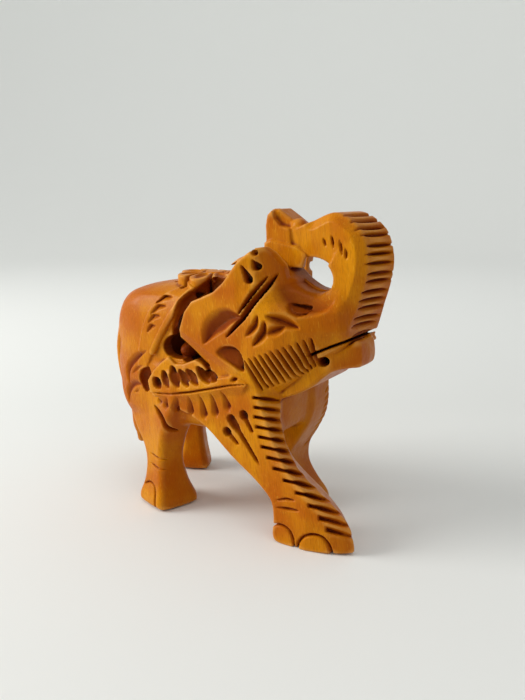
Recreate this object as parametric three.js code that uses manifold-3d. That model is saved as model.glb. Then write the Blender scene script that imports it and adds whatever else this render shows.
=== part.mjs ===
// A small carved wooden elephant with its trunk curled back over its forehead.
// It is carved from one block of wood, so nothing on it moves. Each carved region is its own
// solid here, and a saw kerf of 0.3 mm stands between neighbours.
// Millimetres. +X is forward, +Y is the elephant's left, +Z is up. The origin is on the ground,
// under the middle of the bounding box.
import * as THREE from 'three';
import { mergeVertices } from 'three/addons/utils/BufferGeometryUtils.js';
import Module from 'manifold-3d';

const wasm = await Module();
wasm.setup();

// Driving dimensions.
const HEIGHT = 74.4;
const HALF_WIDTH = 16.2;
const FLANK_Y = 13.8;
const KERF = 0.3;
const LEG_TOP_Z = 25;
const CHAMBER = { rear: -15.5, front: 4.5, floor: 35.4, roof: 48.6, halfWidth: 9.4, middle: 42.6 };
const PLATE_OUTER_Y = 15.4;
const LEAF_INNER_Y = 12.6;
const CLOTH_THICKNESS = 0.8;
const FOREHEAD_SLOPE = { normal: [51, 45, 47], through: [13, 13.8, 62] };
const EAR_CHAMFER = { upperEnd: [-9, 47.8], lowerEnd: [14.4, 35], slope: 0.5 };
const TUSK_SOCKET = { radius: 1.15, depth: 3, mouth: [26.9, 7.7, 41.9], outward: [0.72, 0.66, 0.1] };
const FINIAL_NEAR_POST = { low: -4.8, high: -1 };
const FINIAL_FAR_POST = { low: -3.6, high: 2.6 };
const FINIAL_KNOB = { centre: [16.2, -3, 70], radii: [2.3, 2, 2.2] };
const SADDLE = { bottom: 56, top: 59.6 };
const CLOTH_INNER_Y = 9;
const TAIL = { middleY: -3, halfWidth: 1.9 };
const CALF = {
  body: { centre: [-6.2, 0, 41.4], radii: [5.2, 3.4, 3.2] },
  head: { centre: [0.2, 0, 43.2], radii: [2.6, 2.6, 2.9] },
  knob: { centre: [-9.4, 6.2, 41.1], radii: [2.2, 5.3, 2] },
  legX: [-9, -3],
  legY: 2.2,
  legHalfWidth: 1.1,
};
const REACH = 60;

const WOOD = { color: 0xb8702a, roughness: 0.42, metalness: 0 };
const DARK_WOOD = { color: 0x9a5521, roughness: 0.45, metalness: 0 };

// Side outlines are lists of [x, z], plans are [x, y] and fronts are [y, z].
const SIDE = {
  torso: [
    [-29.8, 21.4], [-33.2, 26], [-35.4, 32], [-36.2, 39], [-35, 45.6], [-31.2, 51.4], [-24, 55.4],
    [-12, 57], [0, 57.4], [8, 58], [15, 47], [17.5, 36], [18, 28], [16, 23.5], [6, 21.2], [-14, 20.6],
  ],
  cloth: [
    [-6.4, 55.4], [-10.3, 50.6], [-14.1, 45.2], [-16.7, 40.6], [-18.4, 37.2], [-20.2, 33.6], [-22.4, 34.4],
    [-22, 40], [-20.8, 45.4], [-18.8, 50.2], [-15, 54], [-10, 57],
  ],
  window: [
    [-14.2, 41.4], [-13.4, 43.4], [-10.4, 45], [-4, 46.4], [0.6, 44], [0, 41], [-5, 39.8], [-9.6, 39],
    [-13, 39.6],
  ],
  leaf: [
    [-17.6, 33], [-16.2, 35.6], [-13.8, 38], [-12, 39.4], [-7, 38.4], [-3.8, 39.8], [0.4, 38.2],
    [4.2, 35.8], [11, 36], [9.6, 33.6], [4.2, 29.2], [-0.6, 27.6], [-11, 27.8], [-14.4, 28.6], [-16.4, 30.2],
  ],
  head: [
    [6, 44], [4.6, 53], [4.6, 61], [8.6, 64], [14, 63.3], [19.1, 59], [23.5, 57], [28, 58.6],
    [27, 43], [24.4, 41.6], [13, 31.8], [9, 34.6], [7, 39],
  ],
  trunk: [
    [26.2, 44.9], [30.8, 46.1], [32.3, 48], [34.4, 53.4], [36.2, 59.6], [36.8, 63.4], [36.2, 67.2],
    [34.8, 70.2], [32, 72.6], [28.6, 73.6], [26.6, 73.6], [22.4, 71.9], [18, 69.9], [15, 68.4],
    [14.4, 66.6], [16.2, 65.4], [19.6, 64.9], [24.2, 65], [27.8, 63.6], [29.5, 61], [29, 58.5], [26.2, 57.2],
  ],
  jaw: [
    [11.5, 31.4], [19.1, 33.4], [24.2, 36.2], [28, 39.6], [31, 40.4], [33.4, 40.8], [34.4, 43],
    [32.8, 46.7], [30.6, 45.3], [28.4, 44.6], [26.4, 44],
  ],
  rightEar: [
    [18, 59.6], [17.4, 62.4], [15.6, 65.2], [14.2, 66.5], [12.6, 66.3], [8.8, 63.2], [5.2, 58.6],
    [2.4, 56.2], [-3.6, 53.6], [-5.7, 51], [-7.7, 44.8], [-4, 42.2], [2.6, 37.3], [4.6, 35.6],
    [10.6, 36.6], [10.4, 42], [12, 46], [14.6, 54.4],
  ],
  leftEar: [
    [11.6, 60.4], [12, 64.2], [11, 65.2], [8.8, 63.2], [5.2, 58.6], [2.4, 56.2], [-3.6, 53.6],
    [-5.7, 51], [-7.7, 44.8], [-4, 42.2], [2.6, 37.3], [4.6, 35.6], [10.6, 36.6], [10.4, 42], [11.4, 52],
  ],
  rightForeleg: [
    [-3.4, 27], [6.4, 18.3], [13.8, 13.1], [17.1, 9.6], [17.7, 5.6], [17.8, 0], [36, 0], [35.3, 3.6],
    [31.2, 9.4], [25.8, 13.9], [21.9, 17.6], [19, 22.6], [17.9, 27],
  ],
  leftForeleg: [
    [2.6, 27], [4.6, 18], [6.4, 10.6], [7.6, 4.4], [8, 0], [18.6, 0], [18.2, 2], [14.6, 5.4],
    [12, 9.6], [12, 14], [14.4, 18.6], [17.6, 27],
  ],
  hindLeg: [
    [-12.4, 27], [-11.6, 23], [-9, 18.4], [-6, 15], [-4.6, 11.6], [-4.6, 6.8], [-5.6, 2], [-5.6, 0],
    [5.2, 0], [4, 6.4], [3.3, 12], [3.9, 17], [6, 23], [7.4, 27],
  ],
  tail: [
    [-34.4, 43], [-36.3, 40], [-37.1, 35], [-36.3, 29], [-34.2, 22], [-32.6, 16.4], [-32.4, 11.4],
    [-30.6, 10.6], [-29.2, 12], [-29.6, 16.4], [-31.6, 22], [-34.2, 29], [-34.8, 35],
  ],
  finialSlab: [
    [9.6, 64.5], [9.7, 66.7], [11.4, 67.4], [18, 66.2], [20.6, 64.6], [17.2, 62.6], [14, 63.7],
  ],
  finialNear: [
    [9.9, 66], [9.7, 70.5], [10.1, 72.8], [11.3, 73.9], [12, 72], [13.4, 70.5], [16, 70], [16.4, 66],
  ],
  finialFar: [
    [9.8, 66], [9.6, 72], [10.6, 74], [11.6, 74.4], [12.6, 74.1], [15.4, 72.2], [18.4, 70.1], [18.6, 66],
  ],
  saddle: [[-21, 56], [-19.6, 58.2], [-12, 59.6], [-4, 59.6], [-2.6, 56]],
};
const FRONT = {
  torso: [
    [0, 57.6], [6.5, 56.6], [10.6, 53.2], [13, 47.6], [FLANK_Y, 40], [FLANK_Y, 32], [12.6, 26],
    [9.4, 22], [0, 20.4],
  ],
  head: [[0, 64.2], [8, 64], [12.4, 61.6], [13.6, 57], [14.6, 48], [14.6, 37.4], [11.4, 31], [0, 31]],
  hindLeg: [
    [-2.8, 27], [-3.3, 21], [-3.4, 12.4], [-4, 6], [-5, 1.8], [-5, 0], [6.4, 0], [6.6, 1.8],
    [5, 6.4], [4, 12], [4.4, 17], [5.4, 23], [6, 27],
  ],
  trunk: [[0, 73.8], [4.6, 73], [6.1, 69.4], [6.5, 57], [8.4, 50], [9.6, 44], [0, 44]],
};
const PLAN = {
  torso: [
    [-37.6, 0], [-36.4, 5], [-32.6, 9.6], [-26.4, 12.8], [-20, FLANK_Y], [11, FLANK_Y], [15.4, 10],
    [17.8, 5], [18.2, 0],
  ],
  head: [[0, 0], [0, 14.6], [12, 14.6], [20, 12.8], [28.5, 8.4], [28.5, 0]],
  trunk: [
    [14, 0], [14.4, 3.2], [18, 4.6], [24, 6], [25.6, 9.6], [31.6, 7.4], [34.4, 6], [36.8, 4.4],
    [37, 0],
  ],
  jaw: [[10, 0], [10, 9.4], [19, 10.2], [24, 9.4], [28, 7.6], [31, 5.4], [33.6, 3.6], [34.4, 0]],
  rightEar: [
    [-9, -15.4], [8.5, -15.4], [13, -14.4], [16.5, -11.4], [19, -8.4], [17, -6.8], [12.4, -11.2],
    [8.4, -12.2], [-9, -12.2],
  ],
  leftEar: [[-9, 12.2], [8.4, 12.2], [12.4, 11.2], [13, 14.4], [8.5, 15.4], [-9, 15.4]],
  finialSlab: [[9, -5.4], [20.8, -5.4], [17.4, -1], [15.4, 3], [9, 4]],
  saddle: [[-21, 0], [-19.4, 4], [-15, 6.6], [-8.6, 6.8], [-4, 4.6], [-2.6, 0]],
  rightForefoot: [
    [-6, -14.1], [26, -14.1], [31, -13.4], [36, -10.8], [36, -8], [31, -5.2], [22, -4], [-6, -3.4],
  ],
  leftForefoot: [[0, 3.6], [0, 13.4], [17, 13.8], [19, 11], [19, 5], [16, 3.4]],
};

function vectors(points) {
  return points.map(([a, b]) => new THREE.Vector2(a, b));
}

// A smooth closed outline through the points.
function smooth(points, stepsPerPoint = 2) {
  const nodes = points.map(([a, b]) => new THREE.Vector3(a, b, 0));
  const curve = new THREE.CatmullRomCurve3(nodes, true, 'centripetal');
  return curve.getPoints(nodes.length * stepsPerPoint).slice(0, -1).map((p) => [p.x, p.y]);
}

// A half outline that starts and ends on the middle line, completed by its mirror image.
function mirrored(half, axis) {
  const flip = axis === 'x' ? ([a, b]) => [-a, b] : ([a, b]) => [a, -b];
  const offAxis = half.filter((p) => Math.abs(axis === 'x' ? p[0] : p[1]) > 0);
  return half.concat(offAxis.reverse().map(flip));
}

function solid(geometry) {
  const plain = geometry.clone();
  plain.deleteAttribute('normal');
  plain.deleteAttribute('uv');
  const merged = mergeVertices(plain, 1e-4);
  return new wasm.Manifold(new wasm.Mesh({
    numProp: 3,
    vertProperties: new Float32Array(merged.attributes.position.array),
    triVerts: new Uint32Array(merged.index.array),
  }));
}

function prism(points, depth) {
  return new THREE.ExtrudeGeometry(new THREE.Shape(vectors(points)), { depth, bevelEnabled: false });
}

// Sawn through the block from the side, between two Y planes.
function sawnFromSide(points, lowY, highY) {
  const geometry = prism(points, highY - lowY);
  geometry.rotateX(Math.PI / 2);
  geometry.translate(0, highY, 0);
  return solid(geometry);
}

// Sawn through the block from above, between two Z planes.
function sawnFromAbove(points, lowZ, highZ) {
  const geometry = prism(points, highZ - lowZ);
  geometry.translate(0, 0, lowZ);
  return solid(geometry);
}

// Sawn through the block from the front, between two X planes.
function sawnFromFront(points, lowX, highX) {
  const geometry = prism(points, highX - lowX);
  const basis = new THREE.Matrix4().makeBasis(
    new THREE.Vector3(0, 1, 0), new THREE.Vector3(0, 0, 1), new THREE.Vector3(1, 0, 0));
  geometry.applyMatrix4(basis);
  geometry.translate(lowX, 0, 0);
  return solid(geometry);
}

function box(low, high) {
  const size = high.map((value, i) => value - low[i]);
  const geometry = new THREE.BoxGeometry(...size);
  geometry.translate(...low.map((value, i) => value + size[i] / 2));
  return solid(geometry);
}

function ball(centre, radii) {
  const geometry = new THREE.SphereGeometry(1, 14, 10);
  geometry.scale(...radii);
  geometry.translate(...centre);
  return solid(geometry);
}

// The same cut leaves a kerf round the neighbour on all six sides.
function clearOf(piece, ...neighbours) {
  const shifts = [[KERF, 0, 0], [-KERF, 0, 0], [0, KERF, 0], [0, -KERF, 0], [0, 0, KERF], [0, 0, -KERF]];
  let rest = piece;
  for (const neighbour of neighbours) {
    for (const shift of shifts) {
      rest = rest.subtract(neighbour.translate(shift));
    }
  }
  return largest(rest);
}

// A cut can leave loose chips, and only the main body is kept.
function largest(piece) {
  const bodies = piece.decompose();
  return bodies.reduce((best, body) => (body.volume() > best.volume() ? body : best));
}

function mirrorSides(piece) {
  return piece.mirror([0, 1, 0]);
}

function torsoBlock(grow) {
  const widen = (point, i) => point[i] + (point[i] > 0 ? grow : 0);
  const front = FRONT.torso.map((p) => [widen(p, 0), p[1] + (p[1] > 50 ? grow : 0)]);
  const plan = PLAN.torso.map((p) => [p[0], widen(p, 1)]);
  return sawnFromSide(smooth(SIDE.torso), -REACH, REACH)
    .intersect(sawnFromFront(smooth(mirrored(front, 'x')), -REACH, REACH))
    .intersect(sawnFromAbove(smooth(mirrored(plan, 'y')), 0, HEIGHT));
}

function makeHead() {
  const blank = sawnFromSide(smooth(SIDE.head), -REACH, REACH)
    .intersect(sawnFromFront(mirrored(FRONT.head, 'x'), -REACH, REACH))
    .intersect(sawnFromAbove(mirrored(PLAN.head, 'y'), 0, HEIGHT));
  return slopeOff(slopeOff(blank, 1), -1);
}

// The forehead slopes down and back on each side, from the ear to the root of the trunk.
function slopeOff(piece, sideSign) {
  const { normal, through } = FOREHEAD_SLOPE;
  const outward = new THREE.Vector3(normal[0], normal[1] * sideSign, normal[2]).normalize();
  const point = new THREE.Vector3(through[0], through[1] * sideSign, through[2]);
  return piece.trimByPlane(outward.clone().negate().toArray(), -outward.dot(point));
}

function makeTrunk() {
  return sawnFromSide(smooth(SIDE.trunk), -REACH, REACH)
    .intersect(sawnFromFront(smooth(mirrored(FRONT.trunk, 'x')), -REACH, REACH))
    .intersect(sawnFromAbove(mirrored(PLAN.trunk, 'y'), 0, HEIGHT));
}

// The jaw is open behind the lips, where the two empty tusk sockets are bored.
function makeJaw() {
  const blank = sawnFromSide(smooth(SIDE.jaw), -REACH, REACH)
    .intersect(sawnFromAbove(mirrored(PLAN.jaw, 'y'), 0, HEIGHT));
  return blank.subtract(tuskSocket(-1)).subtract(tuskSocket(1));
}

function tuskSocket(sideSign) {
  const { radius, depth, mouth, outward } = TUSK_SOCKET;
  const axis = new THREE.Vector3(outward[0], outward[1] * sideSign, outward[2]).normalize();
  const drill = new THREE.CylinderGeometry(radius, radius, 2 * depth, 12);
  const turn = new THREE.Quaternion().setFromUnitVectors(new THREE.Vector3(0, 1, 0), axis);
  drill.applyQuaternion(turn);
  drill.translate(mouth[0], mouth[1] * sideSign, mouth[2]);
  return solid(drill);
}

// An ear is a thin plate that stands off the neck and bends in to meet the forehead.
function makeEar(side, plan, sideSign) {
  const plate = sawnFromSide(smooth(side), -REACH, REACH).intersect(sawnFromAbove(plan, 0, HEIGHT));
  return chamfer(plate, sideSign);
}

// The ear is planed down in one wide chamfer along its lower rear edge.
function chamfer(plate, sideSign) {
  const { upperEnd, lowerEnd, slope } = EAR_CHAMFER;
  const along = new THREE.Vector2(lowerEnd[0] - upperEnd[0], lowerEnd[1] - upperEnd[1]).normalize();
  const downwards = new THREE.Vector3(along.y * slope, sideSign, -along.x * slope).normalize();
  const ridge = new THREE.Vector3(upperEnd[0], PLATE_OUTER_Y * sideSign, upperEnd[1]);
  return plate.trimByPlane(downwards.clone().negate().toArray(), -downwards.dot(ridge));
}

function makeFinial() {
  const slab = sawnFromSide(SIDE.finialSlab, -REACH, REACH)
    .intersect(sawnFromAbove(PLAN.finialSlab, 0, HEIGHT));
  const nearPost = sawnFromSide(SIDE.finialNear, FINIAL_NEAR_POST.low, FINIAL_NEAR_POST.high);
  const farPost = sawnFromSide(SIDE.finialFar, FINIAL_FAR_POST.low, FINIAL_FAR_POST.high);
  const knob = ball(FINIAL_KNOB.centre, FINIAL_KNOB.radii);
  return slab.add(nearPost).add(farPost).add(knob);
}

function makeRightForeleg() {
  return sawnFromSide(smooth(SIDE.rightForeleg), -REACH, REACH)
    .intersect(sawnFromAbove(PLAN.rightForefoot, 0, LEG_TOP_Z));
}

function makeLeftForeleg() {
  return sawnFromSide(smooth(SIDE.leftForeleg), -REACH, REACH)
    .intersect(sawnFromAbove(PLAN.leftForefoot, 0, LEG_TOP_Z));
}

// Both hind legs share one turned block, each in its own stance.
function makeHindLeg({ x, y, turn, girth }) {
  const block = sawnFromSide(smooth(SIDE.hindLeg), -REACH, REACH)
    .intersect(sawnFromFront(smooth(FRONT.hindLeg), -REACH, REACH))
    .scale([girth, girth, 1]);
  const standing = block.rotate([0, 0, turn]).translate([x, y, 0]);
  return standing.intersect(box([-REACH, -HALF_WIDTH, 0], [REACH, HALF_WIDTH, LEG_TOP_Z]));
}

function makeTail() {
  const { middleY, halfWidth } = TAIL;
  return sawnFromSide(smooth(SIDE.tail), middleY - halfWidth, middleY + halfWidth);
}

// A calf stands in the hollow, with a knob on each side that shows through the hole in the flank.
function makeCalf() {
  const { body, head, knob, legX, legY, legHalfWidth } = CALF;
  const floor = CHAMBER.floor + KERF;
  let calf = ball(body.centre, body.radii).add(ball(head.centre, head.radii));
  for (const side of [-1, 1]) {
    const [knobX, knobY, knobZ] = knob.centre;
    calf = calf.add(ball([knobX, side * knobY, knobZ], knob.radii));
    for (const x of legX) {
      const y = side * legY;
      const low = [x - legHalfWidth, y - legHalfWidth, floor];
      const high = [x + legHalfWidth, y + legHalfWidth, body.centre[2]];
      calf = calf.add(box(low, high));
    }
  }
  return calf;
}

function makeCloth(torsoSkin) {
  return torsoSkin.intersect(sawnFromSide(smooth(SIDE.cloth), -REACH, -CLOTH_INNER_Y));
}

function makeSaddle() {
  return sawnFromAbove(smooth(mirrored(PLAN.saddle, 'y')), SADDLE.bottom, SADDLE.top)
    .intersect(sawnFromSide(SIDE.saddle, -REACH, REACH));
}

function mesh(name, piece, look) {
  const data = piece.getMesh();
  const geometry = new THREE.BufferGeometry();
  geometry.setAttribute('position', new THREE.BufferAttribute(data.vertProperties, 3));
  geometry.setIndex(new THREE.BufferAttribute(data.triVerts, 1));
  geometry.computeVertexNormals();
  const result = new THREE.Mesh(geometry, new THREE.MeshStandardMaterial(look));
  result.name = name;
  return result;
}

// Pieces made first keep their whole shape, and later ones are cut clear of them.
function buildElephant() {
  const { rear, front, floor, roof, halfWidth, middle } = CHAMBER;
  const chamberCut = box([rear, -halfWidth, floor], [front, halfWidth, roof]);
  const windowCut = sawnFromSide(smooth(SIDE.window), -REACH, REACH);
  const torso = torsoBlock(0);
  const torsoSkin = torsoBlock(CLOTH_THICKNESS);

  const earRight = makeEar(SIDE.rightEar, PLAN.rightEar, -1);
  const earLeft = makeEar(SIDE.leftEar, PLAN.leftEar, 1);
  const trunk = clearOf(makeTrunk(), earRight, earLeft);
  const jaw = clearOf(makeJaw(), trunk);
  const headBlank = makeHead();
  const head = clearOf(headBlank, trunk, jaw, earRight, earLeft);
  const finial = clearOf(makeFinial(), trunk, headBlank);

  const foreRight = makeRightForeleg();
  const foreLeft = makeLeftForeleg();
  const hindRight = makeHindLeg({ x: -16.4, y: -10.5, turn: -19, girth: 1 });
  const hindLeft = makeHindLeg({ x: -25, y: 13, turn: 24, girth: 0.8 });
  const tail = makeTail();

  const leaf = sawnFromSide(smooth(SIDE.leaf), -PLATE_OUTER_Y, -LEAF_INNER_Y);
  const leafRight = clearOf(leaf, headBlank, earRight, foreRight, hindRight);
  const leafLeft = clearOf(mirrorSides(leaf), headBlank, earLeft, foreLeft, hindLeft);
  const clothRight = clearOf(makeCloth(torsoSkin), leafRight, hindRight);
  const clothLeft = clearOf(mirrorSides(makeCloth(torsoSkin)), leafLeft, hindLeft);
  const saddle = makeSaddle();

  const outerPieces = [
    earRight, earLeft, headBlank, jaw, foreRight, foreLeft, hindRight, hindLeft, tail, leaf,
    mirrorSides(leaf), clothRight, clothLeft, saddle,
  ];
  const carved = clearOf(torso, ...outerPieces);
  const halfKerf = KERF / 2;
  const hollowed = carved.subtract(chamberCut).subtract(windowCut);
  const part = (low, high) => largest(hollowed.intersect(box(low, high)));
  const rump = part([-REACH, -REACH, 0], [rear - halfKerf, REACH, HEIGHT]);
  const shoulders = part([front + halfKerf, -REACH, 0], [REACH, REACH, HEIGHT]);
  const back = part([rear + halfKerf, -REACH, middle + halfKerf], [front - halfKerf, REACH, HEIGHT]);
  const belly = part([rear + halfKerf, -REACH, 0], [front - halfKerf, REACH, middle - halfKerf]);

  const elephant = new THREE.Group();
  const nodes = {
    rump: [rump, WOOD],
    shoulders: [shoulders, WOOD],
    back: [back, WOOD],
    belly: [belly, DARK_WOOD],
    head: [head, WOOD],
    trunk: [trunk, WOOD],
    lower_jaw: [jaw, DARK_WOOD],
    right_ear: [earRight, WOOD],
    left_ear: [earLeft, WOOD],
    forehead_finial: [finial, DARK_WOOD],
    right_foreleg: [foreRight, WOOD],
    left_foreleg: [foreLeft, WOOD],
    right_hind_leg: [hindRight, DARK_WOOD],
    left_hind_leg: [hindLeft, WOOD],
    tail: [tail, WOOD],
    saddle: [saddle, WOOD],
    right_saddle_cloth: [clothRight, WOOD],
    left_saddle_cloth: [clothLeft, WOOD],
    right_leaf: [leafRight, WOOD],
    left_leaf: [leafLeft, WOOD],
    calf: [makeCalf(), DARK_WOOD],
  };
  for (const [name, [piece, look]] of Object.entries(nodes)) {
    elephant.add(mesh(name, piece, look));
  }
  return elephant;
}

export default buildElephant();
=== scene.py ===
"""A small carved wooden elephant, its trunk curled back over its forehead.

The looks are sculpted as a carver works: each mass is sawn from the block by its side, front and
plan outlines, the masses are joined, the edges are rounded, and the cuts are made into the surface.
All of it is one distance field on a regular grid, in millimetres, and one closed mesh is drawn
from it for each CAD node. Lengths in the sculpting part are millimetres; Blender gets metres.
"""
import math

import bpy
import numpy as np
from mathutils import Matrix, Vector


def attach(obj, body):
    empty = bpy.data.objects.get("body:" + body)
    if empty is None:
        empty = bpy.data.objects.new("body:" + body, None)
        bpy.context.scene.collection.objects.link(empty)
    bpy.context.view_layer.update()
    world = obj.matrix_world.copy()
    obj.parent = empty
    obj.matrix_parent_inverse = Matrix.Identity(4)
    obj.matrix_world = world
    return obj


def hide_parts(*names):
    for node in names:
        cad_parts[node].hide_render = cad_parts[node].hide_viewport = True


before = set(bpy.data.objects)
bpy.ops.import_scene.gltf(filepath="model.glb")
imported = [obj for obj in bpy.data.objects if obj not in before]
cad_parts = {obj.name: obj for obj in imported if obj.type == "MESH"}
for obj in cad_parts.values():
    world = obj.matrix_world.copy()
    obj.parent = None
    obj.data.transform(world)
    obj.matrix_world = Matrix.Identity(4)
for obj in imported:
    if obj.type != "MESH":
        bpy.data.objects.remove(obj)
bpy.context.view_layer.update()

MM = 0.001
STEP = 0.24
MARGIN = 1.6
FAR = 50.0


# ---------------------------------------------------------------- outlines and distances

def smooth_outline(points, steps=4, closed=True):
    """A centripetal Catmull-Rom curve through the points."""
    p = [np.array(point, float) for point in points]
    padded = p[-1:] + p + p[:2] if closed else [2 * p[0] - p[1]] + p + [2 * p[-1] - p[-2]]
    out = []
    for a, b, c, d in zip(padded, padded[1:], padded[2:], padded[3:]):
        gaps = [max(math.dist(one, two), 1e-6) ** 0.5 for one, two in ((a, b), (b, c), (c, d))]
        t0, t1, t2, t3 = 0, gaps[0], gaps[0] + gaps[1], sum(gaps)
        for k in range(steps):
            t = t1 + gaps[1] * k / steps

            def between(one, two, first, last):
                return ((last - t) * one + (t - first) * two) / (last - first)
            middle = between(b, c, t1, t2)
            before = between(between(a, b, t0, t1), middle, t0, t2)
            after = between(middle, between(c, d, t2, t3), t1, t3)
            out.append(between(before, after, t1, t2))
    return np.array(out if closed else out + [p[-1]])


def mirrored(half, column):
    """Completes a half outline, which starts and ends on the middle line, with its mirror image."""
    half = [tuple(p) for p in half]
    other = [tuple(-v if i == column else v for i, v in enumerate(p)) for p in half if abs(p[column]) > 0]
    return half + other[::-1]


def inside_distance(outline, u, v):
    """Signed distance to a closed outline, negative inside, on the grid of u by v."""
    u = u.reshape(-1, 1)
    v = v.reshape(1, -1)
    nearest = np.full((u.size, v.size), FAR * FAR)
    crossings = np.zeros((u.size, v.size), bool)
    ends = np.roll(outline, -1, axis=0)
    for (ax, ay), (bx, by) in zip(outline, ends):
        ex, ey = bx - ax, by - ay
        length2 = max(ex * ex + ey * ey, 1e-12)
        t = np.clip(((u - ax) * ex + (v - ay) * ey) / length2, 0, 1)
        nearest = np.minimum(nearest, (u - ax - t * ex) ** 2 + (v - ay - t * ey) ** 2)
        if ay != by:
            spans = (v >= min(ay, by)) & (v < max(ay, by))
            crossings ^= spans & (u < ax + (v - ay) * ex / ey)
    return np.where(crossings, -1, 1) * np.sqrt(nearest)


def along_path(path, u, v):
    """Distance to an open path, how far along it from 0 to 1 the nearest point lies, and on which side."""
    u = u.reshape(-1, 1)
    v = v.reshape(1, -1)
    lengths = np.hypot(*np.diff(path, axis=0).T)
    starts = np.concatenate([[0], np.cumsum(lengths)])
    nearest = np.full((u.size, v.size), FAR * FAR)
    where = np.zeros((u.size, v.size))
    left = np.zeros((u.size, v.size), bool)
    for i, ((ax, ay), (bx, by)) in enumerate(zip(path[:-1], path[1:])):
        ex, ey = bx - ax, by - ay
        t = np.clip(((u - ax) * ex + (v - ay) * ey) / (ex * ex + ey * ey), 0, 1)
        gap = (u - ax - t * ex) ** 2 + (v - ay - t * ey) ** 2
        closer = gap < nearest
        nearest = np.where(closer, gap, nearest)
        where = np.where(closer, starts[i] + t * lengths[i], where)
        left = np.where(closer, ex * (v - ay) > ey * (u - ax), left)
    return np.sqrt(nearest), where / starts[-1], left


def between_rows(table, first, places):
    """The rows of a table, whose rows are one grid step apart, at places between them."""
    at = (places - first) / STEP
    below = np.clip(at.astype(int), 0, len(table) - 2)
    share = (at - below)[..., None]
    return (1 - share) * table[below] + share * table[below + 1]


def steepness(surface):
    """How much longer a way along the surface is than the same way on the grid."""
    slope_u, slope_v = np.gradient(surface, STEP)
    return np.sqrt(1 + slope_u ** 2 + slope_v ** 2)


def both(a, b, radius):
    """Where two shapes overlap, with the edge between them rounded to the radius."""
    reach = np.sqrt(np.maximum(a + radius, 0) ** 2 + np.maximum(b + radius, 0) ** 2)
    return reach + np.minimum(np.maximum(a + radius, b + radius), 0) - radius


def either(a, b, radius):
    """Two shapes joined, with a fillet of the radius between them."""
    return -both(-a, -b, radius)


# ---------------------------------------------------------------- the block of wood

class Block:
    """The distance field, and which node each point of the wood belongs to."""

    def __init__(self, low, high):
        self.axes = [np.arange(lo, hi + STEP, STEP) for lo, hi in zip(low, high)]
        self.low = np.array(low, float)
        shape = [a.size for a in self.axes]
        self.field = np.full(shape, FAR, np.float32)
        self.nearest = np.full(shape, FAR, np.float32)
        self.node = np.zeros(shape, np.int8)
        self.names = []

    def window(self, low, high):
        slices = []
        for axis, lo, hi in zip(self.axes, low, high):
            first = max(int((lo - MARGIN - axis[0]) / STEP), 0)
            last = min(int((hi + MARGIN - axis[0]) / STEP) + 2, axis.size)
            slices.append(slice(first, max(last, first + 1)))
        x, y, z = (axis[s] for axis, s in zip(self.axes, slices))
        return tuple(slices), x, y, z

    def add(self, name, low, high, shape, fillet=0.8):
        where, x, y, z = self.window(low, high)
        piece = shape(x, y, z).astype(np.float32)
        self.field[where] = either(self.field[where], piece, fillet)
        self.claim(name, where, piece)

    def claim(self, name, where, piece):
        if name not in self.names:
            self.names.append(name)
        number = self.names.index(name) + 1
        closer = piece < self.nearest[where]
        self.nearest[where] = np.where(closer, piece, self.nearest[where])
        self.node[where] = np.where(closer, number, self.node[where])

    def patch(self, name, low, high, outline, height, edge=0.4, skin=1.6):
        """Raises the surface by the height inside an outline, and gives that skin to the node."""
        where, x, y, z = self.window(low, high)
        border = outline(x, y, z)
        rise = height(x, y, z) if callable(height) else height
        old = self.field[where]
        piece = both(border, old - rise, edge).astype(np.float32)
        self.field[where] = np.minimum(old, piece)
        if name not in self.names:
            self.names.append(name)
        claimed = (np.maximum(border, old - rise) < 0) & (old > -skin)
        self.node[where] = np.where(claimed, self.names.index(name) + 1, self.node[where])

    def cut(self, low, high, shape, edge=0.3):
        where, x, y, z = self.window(low, high)
        self.field[where] = both(self.field[where], -shape(x, y, z).astype(np.float32), edge)

    def inset(self, low, high, depth):
        """Sets the surface back by the depth at each point."""
        where, x, y, z = self.window(low, high)
        self.field[where] += depth(x, y, z).astype(np.float32)


def sawn(side=None, front=None, plan=None, edge=1.0, low_y=None, high_y=None):
    """A mass sawn from the block by up to three outlines: side is x, z; front is y, z; plan is x, y."""
    def shape(x, y, z):
        parts = []
        if side is not None:
            parts.append(inside_distance(side, x, z)[:, None, :])
        if front is not None:
            parts.append(inside_distance(front, y, z)[None, :, :])
        if plan is not None:
            parts.append(inside_distance(plan, x, y)[:, :, None])
        if low_y is not None:
            parts.append(np.maximum(low_y - y, y - high_y)[None, :, None])
        total = parts[0]
        for part in parts[1:]:
            total = both(total, part, edge)
        return np.broadcast_to(total, (x.size, y.size, z.size))
    return shape


def ellipsoid(centre, radii):
    def shape(x, y, z):
        u = (x[:, None, None] - centre[0]) / radii[0]
        v = (y[None, :, None] - centre[1]) / radii[1]
        w = (z[None, None, :] - centre[2]) / radii[2]
        size = np.sqrt(u * u + v * v + w * w)
        steep = np.sqrt((u / radii[0]) ** 2 + (v / radii[1]) ** 2 + (w / radii[2]) ** 2)
        return size * (size - 1) / np.maximum(steep, 1e-6)
    return shape


# ---------------------------------------------------------------- masses

HALF_WIDTH = 16.5
FLANK = 13.9
CHAMBER = {"rear": -15.4, "front": 4.4, "floor": 35.5, "roof": 48.5, "half_width": 9.4}

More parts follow.
